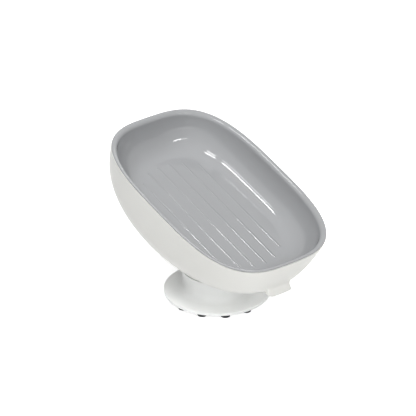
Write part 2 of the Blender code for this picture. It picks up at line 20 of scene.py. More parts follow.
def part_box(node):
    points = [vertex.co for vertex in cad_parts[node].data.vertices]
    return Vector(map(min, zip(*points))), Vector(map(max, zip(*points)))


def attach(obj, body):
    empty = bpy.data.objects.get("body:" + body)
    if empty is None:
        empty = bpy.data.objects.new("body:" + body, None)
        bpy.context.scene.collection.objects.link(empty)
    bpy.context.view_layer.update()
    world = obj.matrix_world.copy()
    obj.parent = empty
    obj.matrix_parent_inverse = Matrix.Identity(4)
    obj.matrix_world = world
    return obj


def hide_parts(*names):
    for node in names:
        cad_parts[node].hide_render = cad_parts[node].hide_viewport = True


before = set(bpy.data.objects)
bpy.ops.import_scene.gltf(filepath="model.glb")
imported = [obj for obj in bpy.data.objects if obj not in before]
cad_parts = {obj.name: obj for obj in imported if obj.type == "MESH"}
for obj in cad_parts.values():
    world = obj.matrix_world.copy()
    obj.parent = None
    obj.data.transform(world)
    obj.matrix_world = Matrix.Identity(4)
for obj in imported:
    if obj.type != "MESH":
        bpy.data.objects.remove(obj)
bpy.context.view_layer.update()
MM = 0.001

# The rim and the bowl
RIM_LENGTH = 140.0 * MM
RIM_WIDTH = 90.8 * MM
RIM_POWER = 3.2
RIM_FORWARD = 0.6 * MM
RIM_HEIGHT = 69.93 * MM
DISH_TILT = math.radians(17.0)
BOWL_DEPTH = 41.8 * MM
BOWL_LEAN = 7.8 * MM
BOWL_LEAN_POWER = 1.1
BOWL_DEPTH_POWER = 4.0
BOWL_SIDE_POWER = 3.1
BOWL_BASE_POWER = 1.75
BOWL_LAST_ANGLE = math.radians(89.4)
SHELL_WALL = 1.4 * MM
SHELL_TOP_ROUND = 0.2 * MM

# The spout, and the channel through its lip
SPOUT_WIDTH = 16.6 * MM
SPOUT_WALL = 1.5 * MM
SPOUT_ROOT_DEPTH = 17.0 * MM
SPOUT_DROP = 7.6 * MM
SPOUT_REACH = 6.9 * MM
SPOUT_REACH_POWER = 3.8
SPOUT_CORNER = 1.9 * MM
SPOUT_FILLET = 1.6 * MM
SPOUT_DRAFT = 0.15 * MM
SPOUT_LIP_ROUND = 0.35 * MM
SPOUT_MOUTH_DEPTH = SPOUT_ROOT_DEPTH + SPOUT_DROP
CHANNEL_START_SHARE = 0.34
CHANNEL_LEAST_CORNER = 0.02 * MM

# The turret under the bowl
TURRET_BOTTOM = 18.4 * MM
TURRET_FILLET = 1.5 * MM
TURRET_OVERLAP = 0.03 * MM

# The tray and its flange
FLANGE_TOP = 0.91 * MM
FLANGE_INSET = 0.2 * MM
FLANGE_ROUND = 0.32 * MM
FLANGE_FOOT_ROUND = 0.14 * MM
SEAM_GAP = 0.45 * MM
TRAY_WALL = 1.4 * MM
TRAY_SIDE_GAP = 0.6 * MM
TRAY_EDGE_ROUND = 2.7 * MM
TRAY_EDGE_DEPTH = TRAY_EDGE_ROUND - FLANGE_TOP
TRAY_DEPTH = 20.5 * MM
TRAY_TOP_HALF_LENGTH = RIM_LENGTH / 2 - SHELL_WALL - TRAY_SIDE_GAP - TRAY_WALL
TRAY_TOP_HALF_WIDTH = RIM_WIDTH / 2 - SHELL_WALL - TRAY_SIDE_GAP - TRAY_WALL
TRAY_FLOOR_LENGTH = 100.0 * MM
TRAY_FLOOR_WIDTH = 58.0 * MM
TRAY_FLOOR_POWER = 2.8
TRAY_MIDDLE_POWER = 2.0

# The tray's ribs. Their slopes are the steepest, in degrees, at the high end and at the low end
RIB_COUNT = 6
RIB_PITCH = 8.2 * MM
RIB_HALF_WIDTH = 0.9 * MM
RIB_SLOPES = (25.0, 39.0)
RIB_END_MARGIN = 1.8 * MM
RIB_END_REACH = 1.2
RIB_SINK = 0.01 * MM

# The tray's drain slot and the collar under it
SLOT_LENGTH = 12.0 * MM
SLOT_WIDTH = 4.0 * MM
SLOT_CORNER = 0.7 * MM
COLLAR_WALL = 1.2 * MM
COLLAR_DROP = 3.6 * MM
COLLAR_GAP = 3.5 * MM
COLLAR_EDGE = 0.2 * MM
COLLAR_DEPTH = TRAY_DEPTH + COLLAR_DROP
COLLAR_ROOT_SHARE = 0.55

# The pedestal. Its cone's slope is in degrees
DISC_RADIUS = 31.5 * MM
DISC_LIFT = 3.0 * MM
DISC_EDGE = 1.7 * MM
DISC_EDGE_ROUND = 0.5 * MM
DISC_FOOT_ROUND = 0.3 * MM
DISC_INNER_ROUND = 0.5 * MM
DISC_CONE_RISE = 0.9 * MM
DISC_CONE_SLOPE = 6
NECK_RADIUS = 20.5 * MM
NECK_FILLET = 3.8 * MM
NECK_TOP_ROUND = 0.4 * MM
NECK_TOP = 18.0 * MM
NECK_SHARES = (0.25, 0.5, 0.75)
NECK_WALL = 2.2 * MM
NECK_INNER_RADIUS = NECK_RADIUS - NECK_WALL
PLATE_BOTTOM = 14.8 * MM
PLATE_CORNER = 0.6 * MM
PLATE_HOLE_RADIUS = 6.3 * MM
POCKET_RADIUS = 10.1 * MM
POCKET_FLOOR = 17.2 * MM

# The suction cups
CUP_COUNT = 12
CUP_FIRST_ANGLE = math.radians(2.0)
CUP_RING_RADIUS = 26.0 * MM
CUP_LIP_RADIUS = 2.9 * MM
CUP_LIP_WIDTH = 0.6 * MM
CUP_LIP_EDGE = 0.5 * MM
CUP_LIP_ROUND = 0.12 * MM
CUP_WAIST_RADIUS = 1.9 * MM
CUP_WAIST_DROP = 0.8 * MM
CUP_FLARE_POWER = 1.6
CUP_HOLLOW = 1.1 * MM
CUP_HOLLOW_START = 0.9
CUP_PLUG_RADIUS = 1.4 * MM
CUP_PLUG_RISE = 1.2 * MM
CUP_PLUG_EDGE = 0.2 * MM
CUP_TOP_GAP = 0.3 * MM

# How finely the meshes are drawn
SIDE_COLUMNS = 44
HIGH_COLUMNS = 56
OVAL_SAMPLES = 1500
PROFILE_SAMPLES = 4000
SPOUT_FRONT_STEPS = 6
SPOUT_FLANK_STEPS = 4
SPOUT_ROUND_STEPS = 8
BOWL_INNER_RINGS = 46
BOWL_UPPER_RINGS = 16
BOWL_SPOUT_RINGS = 18
BOWL_LOWER_RINGS = 34
CHANNEL_RINGS = 10
CHANNEL_CORNER_STEPS = 6
TURRET_FILLET_STEPS = 8
TURRET_INNER_STEPS = 2
TRAY_OUTER_RINGS = 18
TRAY_INNER_RINGS = 37
TRAY_EDGE_STEPS = 10
TRAY_UNDERSIDE_SHARES = (0.08, 0.3, 0.6, 0.85)
TRAY_FLOOR_SHARES = (0.93, 0.8, 0.6, 0.4, 0.2, 0.06)
FLANGE_STEPS = 6
FLANGE_FOOT_STEPS = 3
SLOT_CORNER_STEPS = 5
RIB_SECTION_SAMPLES = 61
RIB_POINTS_ACROSS = 41
RIB_POINTS_ALONG = 40
RIB_END_POINTS = 13
NECK_TOP_STEPS = 5
NECK_FILLET_STEPS = 18
DISC_EDGE_STEPS = 6
CUP_STEPS = 8
ROUND_STEPS = 4
TURRET_TURN_STEPS = 144
PEDESTAL_TURN_STEPS = 192
CUP_TURN_STEPS = 48

# Edges where the faces turn by more degrees than these are sharp
MOULDED_SHARP = 50.0
TURNED_SHARP = 40.0

# Points closer than these are merged. A cutting body goes past what it cuts by CUT_OVERSHOOT
DISH_MERGE = 0.004 * MM
TURNED_MERGE = 0.002 * MM
CUT_OVERSHOOT = 2 * MM

# The swivel axis, worked out from the frame: the pedestal is round about it
low_corner, high_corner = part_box("pedestal")
BASE_FORWARD = (low_corner[0] + high_corner[0]) / 2
SWIVEL = Matrix.Translation((BASE_FORWARD, 0, 0))
DISH = Matrix.Translation((BASE_FORWARD, 0, RIM_HEIGHT)) @ Matrix.Rotation(DISH_TILT, 4, "Y")


# Meshes

def finish_mesh(name, points, faces, place=None, merge=0.0):
    """A smooth mesh object from points and faces, with every face turned outwards."""
    mesh = bpy.data.meshes.new(name)
    shape = bmesh.new()
    verts = [shape.verts.new(point) for point in points]
    for face in faces:
        shape.faces.new([verts[index] for index in face])
    if merge:
        bmesh.ops.remove_doubles(shape, verts=shape.verts, dist=merge)
        bmesh.ops.dissolve_degenerate(shape, edges=shape.edges, dist=merge)
    bmesh.ops.recalc_face_normals(shape, faces=shape.faces)
    if place is not None:
        shape.transform(place)
    shape.to_mesh(mesh)
    shape.free()
    mesh.shade_smooth()
    item = bpy.data.objects.new(name, mesh)
    bpy.context.scene.collection.objects.link(item)
    return item


def skin(name, rings, place=None, merge=0.0, looped=False):
    """A closed body through rings with the same number of points.

    A looped body joins its last ring to its first. Any other is capped at both ends.
    """
    count = len(rings[0])
    points = [tuple(point) for ring in rings for point in ring]
    faces = []
    pairs = list(zip(range(len(rings) - 1), range(1, len(rings))))
    if looped:
        pairs.append((len(rings) - 1, 0))
    for lower, upper in pairs:
        for index in range(count):
            after = (index + 1) % count
            faces.append((lower * count + index, lower * count + after,
                          upper * count + after, upper * count + index))
    if not looped:
        for row in (0, len(rings) - 1):
            points.append(tuple(np.mean(rings[row], axis=0)))
            hub = len(points) - 1
            for index in range(count):
                faces.append((row * count + index, row * count + (index + 1) % count, hub))
    return finish_mesh(name, points, faces, place, merge)


def turned(name, profile, steps, place, looped=True):
    """A turned body: the profile goes round Z. One that isn't looped ends on the axis."""
    turns = [2 * math.pi * index / steps for index in range(steps)]
    rings = [[(radius * math.cos(turn), radius * math.sin(turn), height) for turn in turns]
             for radius, height in profile]
    return skin(name, rings, place, TURNED_MERGE, looped)


def arc(centre, radius, start, end, steps):
    """Points on an arc between two angles in degrees, both ends included."""
    turns = [math.radians(start + (end - start) * index / steps) for index in range(steps + 1)]
    return [(centre[0] + radius * math.cos(turn), centre[1] + radius * math.sin(turn))
            for turn in turns]


def blend(start, end, share):
    """The value at a share of the way from the start to the end."""
    return start + (end - start) * share


def even_steps(start, end, count):
    """Even steps from the start, which is left out, to the end."""
    return np.linspace(start, end, count + 1)[1:]


def joined(items):
    """The items as one mesh object, which keeps the first one's name."""
    target = items[0]
    shape = bmesh.new()
    for item in items:
        shape.from_mesh(item.data)
    shape.to_mesh(target.data)
    shape.free()
    target.data.shade_smooth()
    for item in items[1:]:
        bpy.data.objects.remove(item)
    return target


def cut(item, tool):
    """Cuts the tool out of the item, and the tool is used up."""
    step = item.modifiers.new("Cut", "BOOLEAN")
    step.operation = "DIFFERENCE"
    step.object = tool
    graph = bpy.context.evaluated_depsgraph_get()
    mesh = bpy.data.meshes.new_from_object(item.evaluated_get(graph))
    item.modifiers.clear()
    mesh.name = item.name
    item.data = mesh
    bpy.data.objects.remove(tool)


def crisp(item, degrees):
    """The item with smooth faces, and sharp edges where they turn by more than the degrees."""
    item.data.shade_smooth()
    item.data.set_sharp_from_angle(angle=math.radians(degrees))
    return item


# The dish's ovals. Each ring has the same columns: the spout's first, then the rest evenly

def spout_plan():
    """Half of the spout's plan: distances from its middle line, and shares of its reach."""
    half = SPOUT_WIDTH / 2 - SPOUT_DRAFT
    foot = half + SPOUT_DRAFT
    flat = half - SPOUT_CORNER
    start = SPOUT_REACH - SPOUT_CORNER
    plan = [(flat * index / SPOUT_FRONT_STEPS, 1.0) for index in range(SPOUT_FRONT_STEPS)]
    for y, x in arc((flat, start), SPOUT_CORNER, 90, 0, SPOUT_ROUND_STEPS):
        plan.append((y, x / SPOUT_REACH))
    for index in range(1, SPOUT_FLANK_STEPS):
        share = index / SPOUT_FLANK_STEPS
        plan.append((blend(half, foot, share), blend(start, SPOUT_FILLET, share) / SPOUT_REACH))
    for y, x in arc((foot + SPOUT_FILLET, SPOUT_FILLET), SPOUT_FILLET, 180, 270, SPOUT_ROUND_STEPS):
        plan.append((y, x / SPOUT_REACH))
    return np.array(plan)


SPOUT_PLAN = spout_plan()

# A ring with a smaller half width than this has its spout's columns drawn in with it
NARROW_HALF_WIDTH = RIM_WIDTH / 3


def even_points(half_length, half_width, power, start, end, count):
    """Points on a squared oval between two polar angles, evenly along its length."""
    turns = np.linspace(start, end, OVAL_SAMPLES)
    cosine = np.cos(turns)
    sine = np.sin(turns)
    reach = np.abs(cosine / half_length) ** power + np.abs(sine / half_width) ** power
    radius = reach ** (-1 / power)
    x = radius * cosine
    y = radius * sine
    run = np.concatenate([[0], np.cumsum(np.hypot(np.diff(x), np.diff(y)))])
    wanted = np.linspace(0, run[-1], count + 1)
    return np.interp(wanted, run, x), np.interp(wanted, run, y)


def oval(half_length, half_width, power, depth, lean=0.0, proud=0.0):
    """A ring of the dish. Proud is how far the spout stands out of it."""
    across = SPOUT_PLAN[:, 0] * min(1.0, half_width / NARROW_HALF_WIDTH)
    along = half_length * (1 - (across / half_width) ** power) ** (1 / power)
    corner = math.atan2(across[-1], along[-1])
    side = math.pi / 2
    low_x, low_y = even_points(half_length, half_width, power, corner, side, SIDE_COLUMNS)
    high_x, high_y = even_points(half_length, half_width, power, side, math.pi, HIGH_COLUMNS)
    x = np.concatenate([along + proud * SPOUT_PLAN[:, 1], low_x[1:], high_x[1:]]) - lean
    y = np.concatenate([across, low_y[1:], high_y[1:]])
    x = np.concatenate([x, x[-2:0:-1]])
    y = np.concatenate([y, -y[-2:0:-1]])
    return np.stack([x, y, np.full(len(x), -depth)], axis=1)


def bowl_ring(depth, inset=0.0, proud=0.0):
    """A ring of the bowl's wall at a depth below the rim."""
    share = min(depth / (BOWL_DEPTH - inset), 1.0)
    angle = math.asin(share ** (BOWL_DEPTH_POWER / 2))
    side = max(math.cos(angle), 0.0) ** (2 / BOWL_SIDE_POWER)
    power = blend(RIM_POWER, BOWL_BASE_POWER, share)
    lean = BOWL_LEAN * (depth / BOWL_DEPTH) ** BOWL_LEAN_POWER - RIM_FORWARD
    half_length = (RIM_LENGTH / 2 - inset) * side
    half_width = (RIM_WIDTH / 2 - inset) * side
    return oval(half_length, half_width, power, depth, lean, proud)


def bowl_depths(start, count, inset=0.0):
    """Depths from a start to near the bottom, evenly along the bowl's profile."""
    deep = BOWL_DEPTH - inset
    first = math.asin((start / deep) ** (BOWL_DEPTH_POWER / 2))
    turns = np.linspace(first, BOWL_LAST_ANGLE, PROFILE_SAMPLES)
    depth = deep * np.sin(turns) ** (2 / BOWL_DEPTH_POWER)
    side = RIM_LENGTH / 2 * np.cos(turns) ** (2 / BOWL_SIDE_POWER)
    run = np.concatenate([[0], np.cumsum(np.hypot(np.diff(depth), np.diff(side)))])
    return np.interp(np.linspace(0, run[-1], count + 1), run, depth)


# The outer shell: the bowl with its spout, and the turret under it

def proud_at(depth):
    """How far the spout stands out of the bowl at a depth below the rim."""
    share = (depth - SPOUT_ROOT_DEPTH) / SPOUT_DROP
    return SPOUT_REACH * max(share, 0.0) ** SPOUT_REACH_POWER


def make_bowl():
    """The bowl and its spout: up the inside, over the rim and down the outside."""
    top = SHELL_TOP_ROUND
    inner_depths = bowl_depths(top, BOWL_INNER_RINGS, SHELL_WALL)[::-1]
    rings = [bowl_ring(depth, SHELL_WALL) for depth in inner_depths]
    for inset, depth in arc((SHELL_WALL - top, top), top, 0, -90, ROUND_STEPS)[1:]:
        rings.append(bowl_ring(depth, inset))
    for inset, depth in arc((top, top), top, -90, -180, ROUND_STEPS):
        rings.append(bowl_ring(depth, inset))
    for depth in even_steps(top, SPOUT_ROOT_DEPTH, BOWL_UPPER_RINGS):
        rings.append(bowl_ring(depth))
    lip_depth = SPOUT_MOUTH_DEPTH - SPOUT_LIP_ROUND
    for depth in even_steps(SPOUT_ROOT_DEPTH, lip_depth, BOWL_SPOUT_RINGS):
        rings.append(bowl_ring(depth, proud=proud_at(depth)))
    lip = (proud_at(lip_depth) - SPOUT_LIP_ROUND, lip_depth)
    for proud, depth in arc(lip, SPOUT_LIP_ROUND, 0, 90, ROUND_STEPS)[1:]:
        rings.append(bowl_ring(depth, proud=proud))
    for depth in bowl_depths(SPOUT_MOUTH_DEPTH, BOWL_LOWER_RINGS):
        rings.append(bowl_ring(depth))
    return skin("outer_shell_skin", rings, DISH, DISH_MERGE)


def make_channel():
    """The hollow of the spout, which lets the water out of the bowl. It is cut away."""
    half = SPOUT_WIDTH / 2 - SPOUT_WALL
    narrowing = half / (SPOUT_WIDTH / 2)
    back = bowl_ring(SPOUT_MOUTH_DEPTH)[0][0] - SHELL_WALL / 2
    widest = SPOUT_CORNER - SPOUT_WALL / 2
    start = SPOUT_ROOT_DEPTH + CHANNEL_START_SHARE * SPOUT_DROP
    depths = [*np.linspace(start, SPOUT_MOUTH_DEPTH, CHANNEL_RINGS),
              SPOUT_MOUTH_DEPTH + CUT_OVERSHOOT]
    rings = []
    for depth in depths:
        wall_depth = min(depth, SPOUT_MOUTH_DEPTH)
        lip = bowl_ring(wall_depth)[0][0] + proud_at(wall_depth) - SPOUT_WALL
        corner = min(widest, max(lip - back, CHANNEL_LEAST_CORNER) * narrowing)
        line = [(back, half), *arc((lip - corner, half - corner), corner, 90, 0,
                                   CHANNEL_CORNER_STEPS)]
        rings.append([(x, y, -depth) for x, y in line]
                     + [(x, -y, -depth) for x, y in reversed(line)])
    return skin("spout_channel", rings, DISH)


def curve_through(start, bend, end, steps):
    """Points on a soft corner from the start to the end, drawn towards the bend."""
    points = []
    for step in range(steps + 1):
        share = step / steps
        rest = 1 - share
        points.append(tuple(rest ** 2 * a + 2 * share * rest * b + share * share * c
                            for a, b, c in zip(start, bend, end)))
    return points


def make_turret(bowl):
    """The short round turret under the bowl, with a soft corner where it meets the bowl."""
    tree = BVHTree.FromObject(bowl, bpy.context.evaluated_depsgraph_get())
    up = Vector((0, 0, 1))

    def bowl_above(radius, turn):
        start = Vector((BASE_FORWARD + radius * math.cos(turn), radius * math.sin(turn), 0))
        return tree.ray_cast(start, up)[0].z

    inner = NECK_INNER_RADIUS
    outer = NECK_RADIUS + TURRET_FILLET
    inner_round = NECK_TOP_ROUND / 2
    outer_round = NECK_TOP_ROUND
    columns = []
    for index in range(TURRET_TURN_STEPS):
        turn = 2 * math.pi * index / TURRET_TURN_STEPS
        meet = bowl_above(NECK_RADIUS, turn)
        out = bowl_above(outer, turn) + TURRET_OVERLAP
        line = [(inner, meet + SHELL_WALL / 2), (inner, TURRET_BOTTOM + NECK_TOP_ROUND)]
        line += arc((inner + inner_round, TURRET_BOTTOM + inner_round), inner_round,
                    180, 270, TURRET_INNER_STEPS)
        line += arc((NECK_RADIUS - outer_round, TURRET_BOTTOM + outer_round), outer_round,
                    -90, 0, ROUND_STEPS)
        line += curve_through((NECK_RADIUS, meet - TURRET_FILLET), (NECK_RADIUS, meet),
                              (outer, out), TURRET_FILLET_STEPS)
        line.append((NECK_RADIUS + TURRET_FILLET / 2, out + SHELL_WALL / 2))
        columns.append([(BASE_FORWARD + radius * math.cos(turn), radius * math.sin(turn), z)
                        for radius, z in line])
    rings = [[column[row] for column in columns] for row in range(len(columns[0]))]
    return skin("turret_skin", rings, looped=True)


def make_shell():
    """The bowl with its channel cut, and the turret joined to it."""
    bowl = make_bowl()
    cut(bowl, make_channel())
    return crisp(joined([bowl, make_turret(bowl)]), MOULDED_SHARP)


# The tray

def rim_ring(inset, depth):
    """A ring of the rim's own oval, inset from its edge."""
    return oval(RIM_LENGTH / 2 - inset, RIM_WIDTH / 2 - inset, RIM_POWER, depth, -RIM_FORWARD)


def tray_ring(angle, wall=0.0):
    """A ring of the tray's wall: a quarter ellipse from the rim round to the floor."""
    side = math.cos(angle)
    down = math.sin(angle)
    floor_length = TRAY_FLOOR_LENGTH / 2
    floor_width = TRAY_FLOOR_WIDTH / 2
    half_length = floor_length + (TRAY_TOP_HALF_LENGTH - floor_length + wall) * side
    half_width = floor_width + (TRAY_TOP_HALF_WIDTH - floor_width + wall) * side
    power = blend(RIM_POWER, TRAY_FLOOR_POWER, down)
    depth = TRAY_EDGE_DEPTH + (TRAY_DEPTH - TRAY_EDGE_DEPTH + wall) * down
    return oval(half_length, half_width, power, depth, blend(-RIM_FORWARD, 0.0, down))


def floor_ring(share, depth):
    """A ring of the tray's flat floor, at a share of its size."""
    return oval(TRAY_FLOOR_LENGTH / 2 * share, TRAY_FLOOR_WIDTH / 2 * share,
                blend(TRAY_MIDDLE_POWER, TRAY_FLOOR_POWER, share), depth)


def floor_half_length(across):
    """Half of the floor's length at a distance from its middle line."""
    share = abs(across) / (TRAY_FLOOR_WIDTH / 2)
    return TRAY_FLOOR_LENGTH / 2 * (1 - share ** TRAY_FLOOR_POWER) ** (1 / TRAY_FLOOR_POWER)


def make_tray_bowl():
    """The tray without its slot: up the outside, round the flange and down the inside."""
    rings = [floor_ring(share, TRAY_DEPTH + TRAY_WALL) for share in TRAY_UNDERSIDE_SHARES]
    for angle in np.linspace(math.pi / 2, 0, TRAY_OUTER_RINGS):
        rings.append(tray_ring(angle, TRAY_WALL))
    rings.append(rim_ring(SHELL_WALL + TRAY_SIDE_GAP, -SEAM_GAP))
    foot = (FLANGE_INSET + FLANGE_FOOT_ROUND, -SEAM_GAP - FLANGE_FOOT_ROUND)
    for inset, depth in arc(foot, FLANGE_FOOT_ROUND, 90, 180, FLANGE_FOOT_STEPS):
        rings.append(rim_ring(inset, depth))
    top = (FLANGE_INSET + FLANGE_ROUND, FLANGE_ROUND - FLANGE_TOP)
    for inset, depth in arc(top, FLANGE_ROUND, 180, 270, FLANGE_STEPS):
        rings.append(rim_ring(inset, depth))
    edge = (RIM_LENGTH / 2 - TRAY_TOP_HALF_LENGTH - TRAY_EDGE_ROUND, TRAY_EDGE_DEPTH)
    for inset, depth in arc(edge, TRAY_EDGE_ROUND, 270, 360, TRAY_EDGE_STEPS)[:-1]:
        rings.append(rim_ring(inset, depth))
    for angle in np.linspace(0, math.pi / 2, TRAY_INNER_RINGS):
        rings.append(tray_ring(angle))
    for share in TRAY_FLOOR_SHARES:
        rings.append(floor_ring(share, TRAY_DEPTH))
    return skin("inner_tray_skin", rings, DISH, DISH_MERGE)


def slot_ring(grow, depth_at):
    """A ring round the drain slot, grown outwards. depth_at gives its depth at each x."""
    front = bowl_ring(COLLAR_DEPTH, SHELL_WALL)[0][0] - COLLAR_GAP
    back = front - SLOT_WIDTH - 2 * COLLAR_WALL
    middle = (front + back) / 2
    half_x = SLOT_WIDTH / 2 + grow
    half_y = SLOT_LENGTH / 2 + grow
    corner = SLOT_CORNER + grow
    line = []
    for x, y, start in ((1, 1, 0), (-1, 1, 90), (-1, -1, 180), (1, -1, 270)):
        centre = (middle + x * (half_x - corner), y * (half_y - corner))
        line += arc(centre, corner, start, start + 90, SLOT_CORNER_STEPS)
    return [(x, y, -depth_at(x)) for x, y in line]


def level(depth):
    """A depth that is the same at every x, for slot_ring."""
    return lambda x: depth


def in_tray_wall(x):
    """The depth inside the thickness of the tray's wall, for the collar's root."""
    floor_end = TRAY_FLOOR_LENGTH / 2
    share = max(x - floor_end, 0.0) / (TRAY_TOP_HALF_LENGTH - floor_end)
    down = math.sqrt(max(1 - share ** 2, 0.0))
    return TRAY_EDGE_DEPTH + (TRAY_DEPTH - TRAY_EDGE_DEPTH) * down + TRAY_WALL * COLLAR_ROOT_SHARE


def make_collar():
    """The drip collar under the drain slot."""
    edge = COLLAR_EDGE
    rings = [slot_ring(0.0, in_tray_wall),
             slot_ring(0.0, level(COLLAR_DEPTH - edge)),
             slot_ring(edge, level(COLLAR_DEPTH)),
             slot_ring(COLLAR_WALL - edge, level(COLLAR_DEPTH)),
             slot_ring(COLLAR_WALL, level(COLLAR_DEPTH - edge)),
             slot_ring(COLLAR_WALL, in_tray_wall)]
    return skin("drip_collar_skin", rings, DISH, looped=True)


def rib_section(steepest):
    """Distances from a rib's middle, and heights. The slope grows and then falls again."""
    across = np.linspace(0, RIB_HALF_WIDTH, RIB_SECTION_SAMPLES)
    middle = (across[1:] + across[:-1]) / 2
    slope = np.radians(steepest * (1 - np.abs(2 * middle / RIB_HALF_WIDTH - 1)))
    drop = np.concatenate([[0], np.cumsum(np.tan(slope) * np.diff(across))])
    return across, drop[-1] - drop


def make_rib(across):
    """A soft ridge on the floor, lower at the high end, which sinks away at both its ends."""
    half = RIB_HALF_WIDTH
    reach = floor_half_length(across) - RIB_END_MARGIN
    ends = np.concatenate([np.linspace(0, 1, RIB_END_POINTS) * half, [RIB_END_REACH * half]])
    between = np.linspace(-reach + 2 * half, reach - 2 * half, RIB_POINTS_ALONG)
    along = np.concatenate([-reach + ends, between, (reach - ends)[::-1]])
    low = -TRAY_DEPTH - TRAY_WALL / 2
    rows = []
    for x in along:
        away, heights = rib_section(blend(*RIB_SLOPES, x / TRAY_FLOOR_LENGTH + 0.5))
        near_end = max(abs(x) - (reach - half), 0.0)
        row = []
        for y in np.linspace(-half, half, RIB_POINTS_ACROSS):
            rise = float(np.interp(math.hypot(near_end, y), away, heights))
            row.append((x, across + y, -TRAY_DEPTH - RIB_SINK + rise))
        rows.append([(x, across - half, low), *row, (x, across + half, low)])
    return skin("rib_skin", rows, DISH)


def make_tray():
    """The tray with its slot cut, and the collar and the ribs joined to it."""
    tray = make_tray_bowl()
    slot = [slot_ring(0.0, level(COLLAR_DEPTH + CUT_OVERSHOOT)), slot_ring(0.0, level(0.0))]
    cut(tray, skin("drain_slot", slot, DISH))
    collar = make_collar()
    first = -(RIB_COUNT - 1) / 2
    ribs = [make_rib((index + first) * RIB_PITCH) for index in range(RIB_COUNT)]
    return crisp(joined([tray, collar, *ribs]), MOULDED_SHARP)


# The pedestal and the cups

def make_pedestal():
    """The disc, the neck and the plate with its pocket, turned in one piece."""
    disc_top = DISC_LIFT + DISC_EDGE
    foot = disc_top + DISC_CONE_RISE
    neck_top = (NECK_RADIUS - NECK_TOP_ROUND, NECK_TOP - NECK_TOP_ROUND)
    profile = arc(neck_top, NECK_TOP_ROUND, 90, 0, NECK_TOP_STEPS)
    profile += [(NECK_RADIUS, blend(NECK_TOP - NECK_TOP_ROUND, foot + NECK_FILLET, share))
                for share in NECK_SHARES]
    profile += arc((NECK_RADIUS + NECK_FILLET, foot + NECK_FILLET), NECK_FILLET,
                   180, 270 - DISC_CONE_SLOPE, NECK_FILLET_STEPS)
    profile += arc((DISC_RADIUS - DISC_EDGE_ROUND, disc_top - DISC_EDGE_ROUND), DISC_EDGE_ROUND,
                   90 - DISC_CONE_SLOPE, 0, DISC_EDGE_STEPS)
    profile += arc((DISC_RADIUS - DISC_FOOT_ROUND, DISC_LIFT + DISC_FOOT_ROUND), DISC_FOOT_ROUND,
                   0, -90, ROUND_STEPS)
    profile += arc((NECK_INNER_RADIUS + DISC_INNER_ROUND, DISC_LIFT + DISC_INNER_ROUND),
                   DISC_INNER_ROUND, 270, 180, ROUND_STEPS)
    profile += [(NECK_INNER_RADIUS, PLATE_BOTTOM - PLATE_CORNER),
                (NECK_INNER_RADIUS - PLATE_CORNER, PLATE_BOTTOM),
                (PLATE_HOLE_RADIUS, PLATE_BOTTOM),
                (PLATE_HOLE_RADIUS, POCKET_FLOOR),
                (POCKET_RADIUS, POCKET_FLOOR),
                (POCKET_RADIUS, NECK_TOP)]
    return crisp(turned("pedestal_skin", profile, PEDESTAL_TURN_STEPS, SWIVEL), TURNED_SHARP)


def make_cup(index):
    """A suction cup: a plug in the disc, a waist, a flared skirt and a flat lip."""
    shoulder = DISC_LIFT - CUP_TOP_GAP
    waist = shoulder - CUP_WAIST_DROP
    plug_top = DISC_LIFT + CUP_PLUG_RISE
    inner_lip = CUP_LIP_RADIUS - CUP_LIP_WIDTH
    profile = [(0, plug_top),
               (CUP_PLUG_RADIUS - CUP_PLUG_EDGE, plug_top),
               (CUP_PLUG_RADIUS, plug_top - CUP_PLUG_EDGE),
               (CUP_PLUG_RADIUS, shoulder),
               (CUP_WAIST_RADIUS, shoulder)]
    for share in np.linspace(0, 1, CUP_STEPS):
        profile.append((blend(CUP_WAIST_RADIUS, CUP_LIP_RADIUS, share ** CUP_FLARE_POWER),
                        blend(waist, CUP_LIP_EDGE, share)))
    profile += [(CUP_LIP_RADIUS, CUP_LIP_ROUND), (CUP_LIP_RADIUS - CUP_LIP_ROUND, 0),
                (inner_lip, 0)]
    for share in np.linspace(CUP_HOLLOW_START, 0, CUP_STEPS):
        profile.append((inner_lip * share, CUP_HOLLOW * (1 - share ** 2)))
    turn = CUP_FIRST_ANGLE + 2 * math.pi * index / CUP_COUNT
    place = Matrix.Translation((BASE_FORWARD + CUP_RING_RADIUS * math.cos(turn),
                                CUP_RING_RADIUS * math.sin(turn), 0))
    name = f"cup_skin_{index + 1:02d}"
    return crisp(turned(name, profile, CUP_TURN_STEPS, place, looped=False), TURNED_SHARP)


# Materials

# Scales of the noise in a finish: clouds in its colour, patches in its gloss, and its grain
CLOUD_SCALE = 30.0
GLOSS_SCALE = 120.0
GRAIN_SCALE = 900.0
GRAIN_DEPTH = 0.1 * MM
PLASTIC_IOR = 1.5

# Sockets of the Mix node when it mixes colours, whose names repeat
MIX_SHARE = 0
MIX_FIRST = 6
MIX_SECOND = 7
MIX_RESULT = 2


def node_maker(owner):
    """A function that adds a node to the owner's tree, with its inputs set or linked."""
    tree = owner.node_tree

    def add(kind, inputs=None, **settings):
        node = tree.nodes.new(kind)
        for key, value in settings.items():
            setattr(node, key, value)
        for key, value in (inputs or {}).items():
            if isinstance(value, bpy.types.NodeSocket):
                tree.links.new(value, node.inputs[key])
            else:
                node.inputs[key].default_value = value
        return node
    return add


